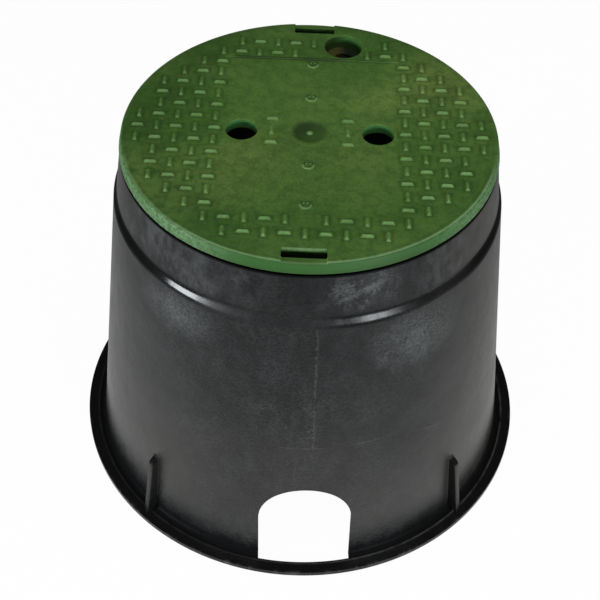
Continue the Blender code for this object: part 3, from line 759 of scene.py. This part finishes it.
def gussets():
    # A rib's section across is a flat-topped ridge with a curved foot, carried down its nose line
    g = gusset
    flangeR, flangeT = box["flange"]
    noseZ = g["top"] - g["drop"]
    toeR = flangeR - g["setback"]
    lean, toeHeight, toeSunk = g["toe"]
    down = np.array([(boxWall(g["top"]) + g["start"], g["top"]), (boxWall(noseZ) + g["reach"], noseZ),
                     (toeR - lean, flangeT + toeHeight), (toeR, flangeT - toeSunk)])
    share = np.concatenate([np.linspace(0, 1, 5)[:-1], np.linspace(1, 2, 22)[:-1], np.linspace(2, 3, 4)])
    nose = np.stack([np.interp(share, np.arange(4), down[:, k]) for k in range(2)], -1)
    # The cap's corner is eased: each point near it moves half way to the middle of its neighbours
    nose[3:6] = nose[3:6] * 0.5 + (np.roll(nose, 1, 0)[3:6] + np.roll(nose, -1, 0)[3:6]) * 0.25
    # Places across the rib, how far each stands out, and what from: 0 the nose, 1 the wall, 2 sunk in it
    half, soft, foot = g["thick"] / 2, g["round"], g["fillet"]
    oneSide = np.array([
        (half + foot, 0.0, 2), (half + foot, 0.0, 1), (half + foot * 0.35, foot * 0.30, 1), (half, foot, 1),
        (half, -soft, 0), (half - soft * 0.3, -soft * 0.3, 0), (half - soft, 0.0, 0)])
    side, lift, follows = np.concatenate([oneSide * (-1, 1, 1), oneSide[::-1]]).T
    wallR = boxWall(nose[:, 1])[:, None]
    proud = np.maximum(nose[:, :1] - wallR, 0.0)
    out = np.where(follows == 0, np.maximum(proud + lift, 0.0), np.minimum(lift, proud))
    radius = np.where(follows == 2, wallR - g["sunk"], wallR + out)
    height = np.broadcast_to(nose[:, 1:], radius.shape)
    shells = []
    for a in box["turn"] + math.tau * (np.arange(g["count"]) + 0.5) / g["count"]:
        shells.append(tube(np.stack([radius * math.cos(a) - side * math.sin(a),
                                     radius * math.sin(a) + side * math.cos(a), height], -1)))
    return shells


lug = {
    "at": (0.02045, 0.09379),
    "turn": math.radians(77.7),
    "radius": 0.0090,
    "top": 0.2504,
    "height": 0.0160,
    "bore": 0.0040,
    "reach": 0.0250,
    "moulded": 0.0005,
}


def lugShell():
    # Round at the bolt and straight-sided out to the neck: its edge in direction a is the nearer of
    # radius / |sin a| and reach / cos a, and the radius itself behind the bolt
    corners = np.arctan2([lug["radius"], -lug["radius"]], lug["reach"]) % math.tau
    a = np.sort(np.concatenate([fullTurn(56), corners]))
    sine, cosine = np.abs(np.sin(a)), np.cos(a)
    far = np.minimum(lug["radius"] / np.maximum(sine, 1e-6), lug["reach"] / np.maximum(cosine, 1e-6))
    edge = np.where(cosine > 0, far, lug["radius"])
    bore = np.full(len(a), lug["bore"])
    r = np.stack([bore, edge, edge, bore])
    low, high = lug["top"] - lug["height"], lug["top"]
    z = np.broadcast_to(np.array([high, high, low, low])[:, None], r.shape)
    angle = a + lug["turn"]
    points = np.stack([lug["at"][0] + r * np.cos(angle), lug["at"][1] + r * np.sin(angle), z], -1)
    return points.reshape(-1, 3), gridFaces(4, len(a))


black = blackPlastic()
boxShell = makePiece("box_shell", [boxGrid()], black, "box")
soften(boxShell, box["moulded"], 40.0)
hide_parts("box_body")
makePiece("box_gussets", gussets(), black, "box", 50.0)
soften(makePiece("box_lug", [lugShell()], black, "box"), lug["moulded"])
print("box made")


# The lid

lid = {
    "top": 0.2627,
    "plateFoot": 0.2592,
    "slope": (0.1169, 0.0004),
    "edge": 0.1203,
    "skirtFoot": (0.1218, 0.2552),
    "skirtIn": 0.1178,
    "skirtRound": (0.0, 0.0009, 0.0007, 0.0003, 0.0),
    "panel": (0.0569, 0.0773, 0.0005),  # half width, half length, depth
    "panelEdge": (0.0040, 0.0005),
    "finger": (0.0437, 0.0102),
    "fingerMouth": ((0.0, 0.00015, 0.0004, 0.0008), (0.0006, 0.00025, 0.00006, 0.0)),
    "bolt": (0.02045, 0.09379),
    "pocket": (0.0127, 0.2532, 0.2507, 0.0060, 0.0149),  # radius, floor, its underside, bolt hole, outside
    "pocketMouth": ((0.0, 0.0003, 0.0008, 0.0012), (0.0009, 0.00045, 0.0001, 0.0)),
    "window": (0.0136, 0.1081, 0.1148),  # half width, inner and outer edge
    "windowMouth": ((0.0, 0.00015), (0.00025, 0.0)),
    "dip": 0.0009,
    "dipFade": 0.0080,
    "dipOnRim": (0.0032, 0.0016),
    # The dish, the nub and each mouth above: distances, and the height taken off or added there
    "dish": ((0.0, 0.0045, 0.0075, 0.0090, 0.0103, 0.0113, 0.0121),
             (0.0012, 0.00115, 0.00095, 0.0007, 0.00032, 0.00008, 0.0)),
    "nub": ((0.0, 0.0007, 0.0013, 0.0018), (0.0011, 0.0010, 0.0006, 0.0)),
}
dipEnd = math.atan2(lid["window"][0], lid["window"][2])
dipStart = dipEnd - lid["dipFade"]


def boxed(halfX, y0, y1, grow, extra=()):
    # A rectangle loop, grown on every side, with extra points along its far side
    xs, low, high = halfX + grow, y0 - grow, y1 + grow
    return np.array([(-xs, low), (xs, low), (xs, high)] + [(x, high) for x in extra] + [(-xs, high)])


def dipAt(x, y):
    # The dip beside a window: full in the middle, and fading out by the angle of the window's corners
    return np.clip((dipEnd - np.arctan2(np.abs(x), np.abs(y))) / lid["dipFade"], 0.0, 1.0)


def lidHeight(x, y):
    # The top's height: the flat plate, less the panel, the dish, each mouth's rounding and the dips at the
    # windows, plus the nub in the dish
    z = np.full(np.shape(x), lid["top"])
    halfX, halfY, depth = lid["panel"]
    soft, crisp = lid["panelEdge"]
    inPanel = [np.clip(1.0 - past / edge, 0.0, 1.0) for past, edge in (
        (np.abs(x) - halfX, soft), (-y - halfY, soft), (y - halfY, crisp))]
    z -= depth * np.minimum(np.minimum(inPanel[0], inPanel[1]), inPanel[2])
    r = np.hypot(x, y)
    z -= np.interp(r, *lid["dish"])
    z += np.interp(r, *lid["nub"])
    z -= np.interp(np.hypot(np.abs(x) - lid["finger"][0], y) - lid["finger"][1], *lid["fingerMouth"])
    z -= np.interp(np.hypot(x - lid["bolt"][0], y - lid["bolt"][1]) - lid["pocket"][0], *lid["pocketMouth"])
    windowX, y0, y1 = lid["window"]
    fromWindow = np.maximum(np.abs(x) - windowX, np.abs(np.abs(y) - (y0 + y1) / 2) - (y1 - y0) / 2)
    z -= np.interp(fromWindow, *lid["windowMouth"])
    return z - lid["dip"] * dipAt(x, y) * (np.abs(y) > y1 - 0.0001)


def lidAngles():
    # Even steps, and close pairs where the dips at the windows end
    even = fullTurn(360)
    ends = np.array([dipStart, dipEnd])
    marks = np.concatenate([at + way * ends for at in (math.pi / 2, 1.5 * math.pi) for way in (1, -1)])
    clear = np.abs(even[:, None] - marks[None, :]).min(1) > 0.004
    return np.sort(np.concatenate([even[clear], marks]))


def offHoles(plan, faces, pocketR):
    # Those faces of a filled plan that don't lie in a finger hole, the pocket or a window
    middle = plan[faces].mean(1)
    x, y = middle[:, 0], middle[:, 1]
    fingerX, fingerR = lid["finger"]
    windowX, y0, y1 = lid["window"]
    solid = np.hypot(np.abs(x) - fingerX, y) > fingerR * 0.999
    solid &= np.hypot(x - lid["bolt"][0], y - lid["bolt"][1]) > pocketR * 0.999
    solid &= ~((np.abs(x) < windowX) & (np.abs(y) > y0) & (np.abs(y) < y1))
    return faces[solid]


def lidShell():
    # The top is the height over a filled plan, the rim is a turned line, and each hole's wall is its loop
    # carried down
    angles = lidAngles()
    fingerX, fingerR = lid["finger"]
    pocketR, pocketFloor, pocketFoot, boltR, pocketOut = lid["pocket"]
    windowX, y0, y1 = lid["window"]
    slopeR, slopeDrop = lid["slope"]
    rimLoop = np.stack([slopeR * np.cos(angles), slopeR * np.sin(angles)], -1)
    halfX, halfY = lid["panel"][:2]
    soft, crisp = lid["panelEdge"]
    panelLoops = [boxed(halfX, -halfY, halfY, 0.0), boxed(halfX + soft, -halfY - soft, halfY + crisp, 0.0)]
    dipped = y1 * math.tan(dipStart)
    notch = (dipped, -dipped)
    windowLoops = []
    for grow in lid["windowMouth"][0]:
        loop = boxed(windowX, y0, y1, grow, notch)
        windowLoops += [loop, loop * (1, -1)]
    loops = [rimLoop, *panelLoops, *windowLoops]
    for side in (-1, 1):
        loops += [circle(fingerR + out, 64, (side * fingerX, 0.0)) for out in lid["fingerMouth"][0]]
    loops += [circle(pocketR + out, 72, lid["bolt"]) for out in lid["pocketMouth"][0]]
    loops += [circle(r, 48) for r in lid["dish"][0][1:]]
    loops += [circle(r, 24) for r in lid["nub"][0][1:]]
    plan, faces = filledPlan(loops)
    topPoints = np.column_stack([plan, lidHeight(plan[:, 0], plan[:, 1])])
    shells = [(topPoints, offHoles(plan, faces, pocketR))]

    # The edge and skirt, from the plate's slope round to the plate's underside
    top, footR, footZ = lid["top"], *lid["skirtFoot"]
    corners = [(slopeR, top), (lid["edge"], top - slopeDrop), (footR, footZ), (lid["skirtIn"], footZ),
               (lid["skirtIn"], lid["plateFoot"])]
    line = softCorners(corners, lid["skirtRound"], 6)[1:-1].tolist() + [corners[-1]]
    points, ring = turned([(slopeR, top)] + line, angles, roundProfile=False)
    start = points[:len(angles)]
    start[:, 2] = lidHeight(start[:, 0], start[:, 1])
    rest = points[len(angles):]
    dipFoot, dipRise = lid["dipOnRim"]
    fade = np.clip((rest[:, 2] - (top - dipFoot)) / dipRise, 0.0, 1.0)
    rest[:, 2] -= lid["dip"] * fade * dipAt(rest[:, 0], rest[:, 1])
    shells.append((points, ring))

    # Walls of the holes, each from its mouth down to the underside
    plateFoot = lid["plateFoot"]
    loops = [np.stack([lid["skirtIn"] * np.cos(angles), lid["skirtIn"] * np.sin(angles)], -1)]
    loops += [circle(fingerR, 64, (side * fingerX, 0.0)) for side in (-1, 1)]
    loops += [boxed(windowX, y0, y1, 0.0, notch) * (1, side) for side in (1, -1)]
    for loop in loops[1:]:
        high = np.column_stack([loop, lidHeight(loop[:, 0], loop[:, 1])])
        low = np.column_stack([loop, np.full(len(loop), plateFoot)])
        shells.append((np.concatenate([high, low]), gridFaces(2, len(loop), False)))
    # The pocket is turned: down its wall, over its floor, through the bolt's hole and up its outside
    pocketLine = [(pocketR, top - lid["pocketMouth"][1][0]), (pocketR - 0.0001, pocketFloor + 0.0008),
                  (pocketR - 0.0004, pocketFloor + 0.0001), (pocketR - 0.0012, pocketFloor),
                  (boltR + 0.0004, pocketFloor), (boltR, pocketFloor - 0.0004), (boltR, pocketFoot),
                  (pocketOut, pocketFoot), (pocketOut, plateFoot)]
    shells.append(turned(pocketLine, fullTurn(72), lid["bolt"], False))
    loops.append(circle(pocketOut, 72, lid["bolt"]))
    plan, faces = filledPlan(loops)
    shells.append((np.column_stack([plan, np.full(len(plan), plateFoot)]), offHoles(plan, faces, pocketOut)))
    return shells


tread = {
    "pitch": (0.01222, 0.01192),
    "length": 0.0087,
    "width": 0.0036,
    "corner": 0.0006,
    "levels": (-0.0017, 0.0, 0.0007, 0.0013, 0.0015),
    "insets": (0.0, 0.0001, 0.0007, 0.0012, 0.0016),
    "margin": 0.0095,
    "toPocket": 0.0018,
    "toWindow": 0.0080,
}


def barPlaces():
    # The chequer: bar (i, j) lies along X where i + j is odd, and along Y where it is even. It stops at the
    # panel, the edge, the pocket and the windows, and two groups of three stand on the panel
    i, j = (part.ravel() for part in np.meshgrid(np.arange(-9, 10), np.arange(-10, 11), indexing="ij"))
    x, y = i * tread["pitch"][0], j * tread["pitch"][1]
    alongX = (i + j) % 2 == 1
    halfX = np.where(alongX, tread["length"], tread["width"]) / 2
    halfY = np.where(alongX, tread["width"], tread["length"]) / 2
    panelX, panelY = lid["panel"][:2]
    stands = ~((np.abs(x) < panelX) & (np.abs(y) < panelY))
    stands &= np.hypot(x, y) <= lid["edge"] - tread["margin"]
    stands &= ~((i == 0) & (np.abs(y) - tread["pitch"][1] < panelY))
    nearX = np.maximum(np.abs(x - lid["bolt"][0]) - halfX, 0)
    nearY = np.maximum(np.abs(y - lid["bolt"][1]) - halfY, 0)
    stands &= np.hypot(nearX, nearY) >= lid["pocket"][0] + tread["toPocket"]
    beside = np.abs(x) - halfX > lid["window"][0] + tread["toWindow"]
    shortOf = np.abs(y) + halfY < lid["window"][1] - tread["toWindow"]
    stands &= beside | shortOf
    stands |= (np.abs(i) == 2) & (np.abs(j) <= 1)
    return x[stands], y[stands], alongX[stands]


def treadBars():
    # One bar is a stack of shrinking round-cornered outlines, and all bars are copies set by whole arrays
    x, y, alongX = barPlaces()
    halfL, halfW = tread["length"] / 2, tread["width"] / 2
    layers = []
    for level, inset in zip(tread["levels"], tread["insets"]):
        a, b = halfL - inset, halfW - inset
        corner = min(tread["corner"], b * 0.8)
        loop = softCorners([(-a, -b), (a, -b), (a, b), (-a, b)], corner, 2)
        layers.append(np.column_stack([loop, np.full(len(loop), lid["top"] + level)]))
    bar = np.stack(layers)
    rows, columns = bar.shape[:2]
    bar = bar.reshape(-1, 3)
    lying = bar[None] + np.zeros((len(x), 1, 1))
    standing = np.stack([-bar[:, 1], bar[:, 0], bar[:, 2]], -1)[None] + np.zeros((len(x), 1, 1))
    points = np.where(alongX[:, None, None], lying, standing)
    points[..., 0] += x[:, None]
    points[..., 1] += y[:, None]
    onPanel = (np.abs(x) < lid["panel"][0]) & (np.abs(y) < lid["panel"][1])
    points[onPanel, :, 2] -= lid["panel"][2]
    shift = np.arange(len(x))[:, None] * len(bar)
    sides = gridFaces(rows, columns, False)
    quads = (sides[None] + shift[:, :, None]).reshape(-1, 4).tolist()
    ends = np.stack([np.arange(columns), np.arange(columns) + (rows - 1) * columns])
    caps = (ends[None] + shift[:, :, None]).reshape(-1, columns).tolist()
    return points.reshape(-1, 3), quads + caps


ringMark = {
    "at": ((0.0, 0.0720), (0.0, 0.0350), (0.0, -0.0330), (-0.0005, -0.0695)),
    "radius": 0.0035,
    "ridge": 0.0007,
    "high": 0.00070,
    "sunk": 0.0006,
    "dots": 0.0008,
    "dotAt": (0.0013, 0.0010),
}


def ringMarks():
    # Ejector marks: a low ring, turned from a half-round section, with two small dots in its upper half
    shells = []
    foot = lid["top"] - lid["panel"][2]
    ridge, high, sunk, dotR = (ringMark[name] for name in ("ridge", "high", "sunk", "dots"))
    section = [(ringMark["radius"] + ridge * c, foot + z) for c, z in (
        (-1, -sunk), (-1, 0), (-0.6, high * 0.7), (0, high), (0.6, high * 0.7), (1, 0), (1, -sunk))]
    pole = 0.00001
    dot = [(pole, foot + high), (dotR * 0.6, foot + high * 0.9), (dotR, foot), (dotR, foot - sunk),
           (pole, foot - sunk)]
    dotX, dotY = ringMark["dotAt"]
    for cx, cy in ringMark["at"]:
        shells.append(turned(section, fullTurn(28), (cx, cy)))
        for side in (-dotX, dotX):
            shells.append(turned(dot, fullTurn(10), (cx + side, cy + dotY)))
    return shells


under = {
    "sunk": 0.0010,
    "ring": 0.0599,
    "hub": (0.0130, 0.0025),
    "ribs": 8,
    "ribT": 0.0022,
    "ribH": 0.0080,
    "ribShort": 0.0003,
    "reach": 0.1061,
    "collar": (0.0001, 0.0018, 0.0042),  # from the hole's wall to its inside and outside, and its depth
    "catchHalf": 0.0136,
    "catch": (0.1053, 0.1081, 0.1127, 0.2412),
    "hook": (0.0035, 0.0053),
    "moulded": 0.0004,
}


def underside():
    # The ring, hub and collars are turned sections, and ribs and catches are outlines carried along a line
    plateFoot = lid["plateFoot"]
    high, low = plateFoot + under["sunk"], plateFoot - under["ribH"]
    shells = []
    for radius, wall in ((under["ring"], under["ribT"]), under["hub"]):
        section = [(radius, high), (radius, low), (radius - wall, low), (radius - wall, high)]
        shells.append(turned(section, fullTurn(96)))
    # A collar goes down from each finger hole
    fingerX, fingerR = lid["finger"]
    clear, wallEnd, depth = under["collar"]
    inner, outer = fingerR + clear, fingerR + wallEnd
    section = [(inner, high), (inner, plateFoot - depth), (outer, plateFoot - depth), (outer, high)]
    shells += [turned(section, fullTurn(64), (side * fingerX, 0.0)) for side in (-1, 1)]
    half, foot = under["ribT"] / 2, low + under["ribShort"]
    outline = [(-half, high), (-half, foot), (half, foot), (half, high)]
    hubR, hubWall = under["hub"]
    steps = np.linspace(hubR - hubWall / 2, under["reach"], 9)[:, None]
    for k in range(under["ribs"]):
        a = math.tau * (k + 0.5) / under["ribs"]
        way = np.array([math.cos(a), math.sin(a), 0.0])
        shells.append(carried(outline, steps * way, (-way[1], way[0], 0.0)))
    # A catch hangs behind each window, with its hook outwards
    inner, outer, hook, foot = under["catch"]
    lip, back = under["hook"]
    outline = [(inner, high), (inner, foot), (outer, foot), (hook, foot + lip), (hook, foot + back),
               (outer, foot + back), (outer, high)]
    origins = np.linspace(-1, 1, 5)[:, None] * np.array([under["catchHalf"], 0.0, 0.0])
    shells += [carried(outline, origins, (0.0, side, 0.0)) for side in (-1.0, 1.0)]
    return shells


green = greenPlastic()
lidPlate = makePiece("lid_shell", lidShell(), green, "cover", 32.0)
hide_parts("lid")
makePiece("lid_tread", [treadBars()], green, "cover", 28.0)
makePiece("lid_ring_marks", ringMarks(), green, "cover", 60.0)
soften(makePiece("lid_underside", underside(), green, "cover"), under["moulded"])
print("lid made")


# Studio: white paper on the floor, two low softboxes in front at the sides, and one above

studio = {
    "floor": (0.86, 0.86, 0.86, 1.0),
    "floorRadius": 40.0,
    "floorDrop": 0.0002,
    "white": (1.0, 1.0, 1.0, 1.0),
    "paper": 0.975,
    "shine": ((0.0, 0.0), (0.150, 0.02), (0.165, 1.0), (0.27, 0.95), (0.42, 0.42), (0.62, 0.16), (1.0, 0.08)),
    "lampAim": (0.0, 0.0, 0.15),
    "left": {"at": (-1.30, -0.80, 0.36), "size": (0.46, 0.48), "watts": 18.5, "colour": (0.92, 0.97, 1.0)},
    "right": {"at": (0.86, -1.25, 0.36), "size": (0.44, 0.48), "watts": 15.5, "colour": (0.92, 0.97, 1.0)},
    "over": {"at": (0.15, -0.35, 1.9), "size": (1.2, 1.0), "watts": 14.5, "colour": (1.0, 1.0, 1.0)},
    "world": 0.08,
}


def addFloor():
    # The camera sees white paper with a faint shadow. In a reflection its brightness follows the stops of
    # shine, over the distance from the object in metres
    material = bpy.data.materials.new("floor_paper")
    material.use_nodes = True
    tree = material.node_tree
    shader = tree.nodes["Principled BSDF"]
    shader.inputs["Base Color"].default_value = studio["floor"]
    shader.inputs["Roughness"].default_value = 0.9
    shader.inputs["Specular IOR Level"].default_value = 0.0
    flow = Flow(tree)
    ray = tree.nodes.new("ShaderNodeLightPath")
    direct, glossy, clear = (Flow(tree, ray.outputs[name]) for name in (
        "Is Camera Ray", "Is Glossy Ray", "Is Transmission Ray"))
    place = flow.node("ShaderNodeTexCoord", output="Object")
    far = place.node("ShaderNodeVectorMath", {"operation": "LENGTH"}, {0: place}, 1)
    shine = far.node("ShaderNodeValToRGB", {"stops": studio["shine"]}, {"Fac": far})
    strength = shine * glossy + (1.0 - glossy)
    white = flow.node("ShaderNodeEmission", {}, {"Color": studio["white"], "Strength": strength})
    lit = Flow(tree, shader.outputs[0])
    seen = highest(direct * studio["paper"], clear * studio["paper"], glossy)
    shown = flow.node("ShaderNodeMixShader", {}, {0: seen, 1: lit, 2: white})
    tree.links.new(shown.socket, tree.nodes["Material Output"].inputs["Surface"])
    rim = circle(studio["floorRadius"], 64)
    points = np.column_stack([rim, np.full(len(rim), -studio["floorDrop"])])
    mesh = bpy.data.meshes.new("floor")
    mesh.from_pydata(points, [], [list(range(len(rim)))])
    mesh.materials.append(material)
    floor = bpy.data.objects.new("floor", mesh)
    bpy.context.scene.collection.objects.link(floor)


def addLamp(name, look):
    lamp = bpy.data.lights.new(name, "AREA")
    lamp.shape = "RECTANGLE"
    lamp.size, lamp.size_y = look["size"]
    lamp.energy = look["watts"]
    lamp.color = look["colour"]
    holder = bpy.data.objects.new(name, lamp)
    holder.location = look["at"]
    holder.rotation_euler = (Vector(studio["lampAim"]) - holder.location).to_track_quat("-Z", "Y").to_euler()
    holder.visible_camera = False
    bpy.context.scene.collection.objects.link(holder)


def addWorld():
    # White for the camera, and a weak fill light for everything else
    world = bpy.data.worlds.new("studio")
    world.use_nodes = True
    tree = world.node_tree
    back = tree.nodes["Background"]
    ray = tree.nodes.new("ShaderNodeLightPath")
    seen = Flow(tree, ray.outputs["Is Camera Ray"])
    strength = seen * (1.0 - studio["world"]) + studio["world"]
    back.inputs["Color"].default_value = studio["white"]
    tree.links.new(strength.socket, back.inputs["Strength"])
    bpy.context.scene.world = world


camera = {
    "elevation": 0.80622,
    "azimuth": math.radians(0.4),
    "distance": 0.92117,
    "aim": 0.1089,
    "focal": 1270.4784,
    "roll": 0.03643,
    "centre": (3.75539, -2.1713),
    "frame": 600.0,
    "sensor": 36.0,
}


def addCamera():
    # The camera looks at a point on the axis, is turned aside until that point falls on its own pixel, and is
    # then rolled
    e, a = camera["elevation"], camera["azimuth"]
    back = np.array([math.sin(a) * math.cos(e), -math.cos(a) * math.cos(e), math.sin(e)])
    right = np.array([math.cos(a), math.sin(a), 0.0])
    ahead, up = -back, np.cross(back, right)
    yaw, pitch = (math.atan(c / camera["focal"]) for c in camera["centre"])
    rowX = math.cos(yaw) * right + math.sin(yaw) * ahead
    turnedAhead = -math.sin(yaw) * right + math.cos(yaw) * ahead
    rowY = math.cos(pitch) * up - math.sin(pitch) * turnedAhead
    rowZ = math.sin(pitch) * up + math.cos(pitch) * turnedAhead
    cosine, sine = math.cos(camera["roll"]), math.sin(camera["roll"])
    sideways = cosine * rowX + sine * rowY
    upwards = cosine * rowY - sine * rowX
    lens = bpy.data.cameras.new("photo_view")
    lens.sensor_width = camera["sensor"]
    lens.lens = camera["sensor"] * camera["focal"] / camera["frame"]
    lens.clip_start, lens.clip_end = 0.05, 60.0
    holder = bpy.data.objects.new("photo_view", lens)
    spot = np.array([0.0, 0.0, camera["aim"]]) + back * camera["distance"]
    rows = np.stack([sideways, upwards, -rowZ, spot], -1)
    holder.matrix_world = Matrix([*rows.tolist(), [0.0, 0.0, 0.0, 1.0]])
    bpy.context.scene.collection.objects.link(holder)
    bpy.context.scene.camera = holder


addFloor()
addWorld()
for name in ("left", "right", "over"):
    addLamp(name, studio[name])
addCamera()
bpy.context.scene.view_settings.view_transform = "Standard"
print("studio made")
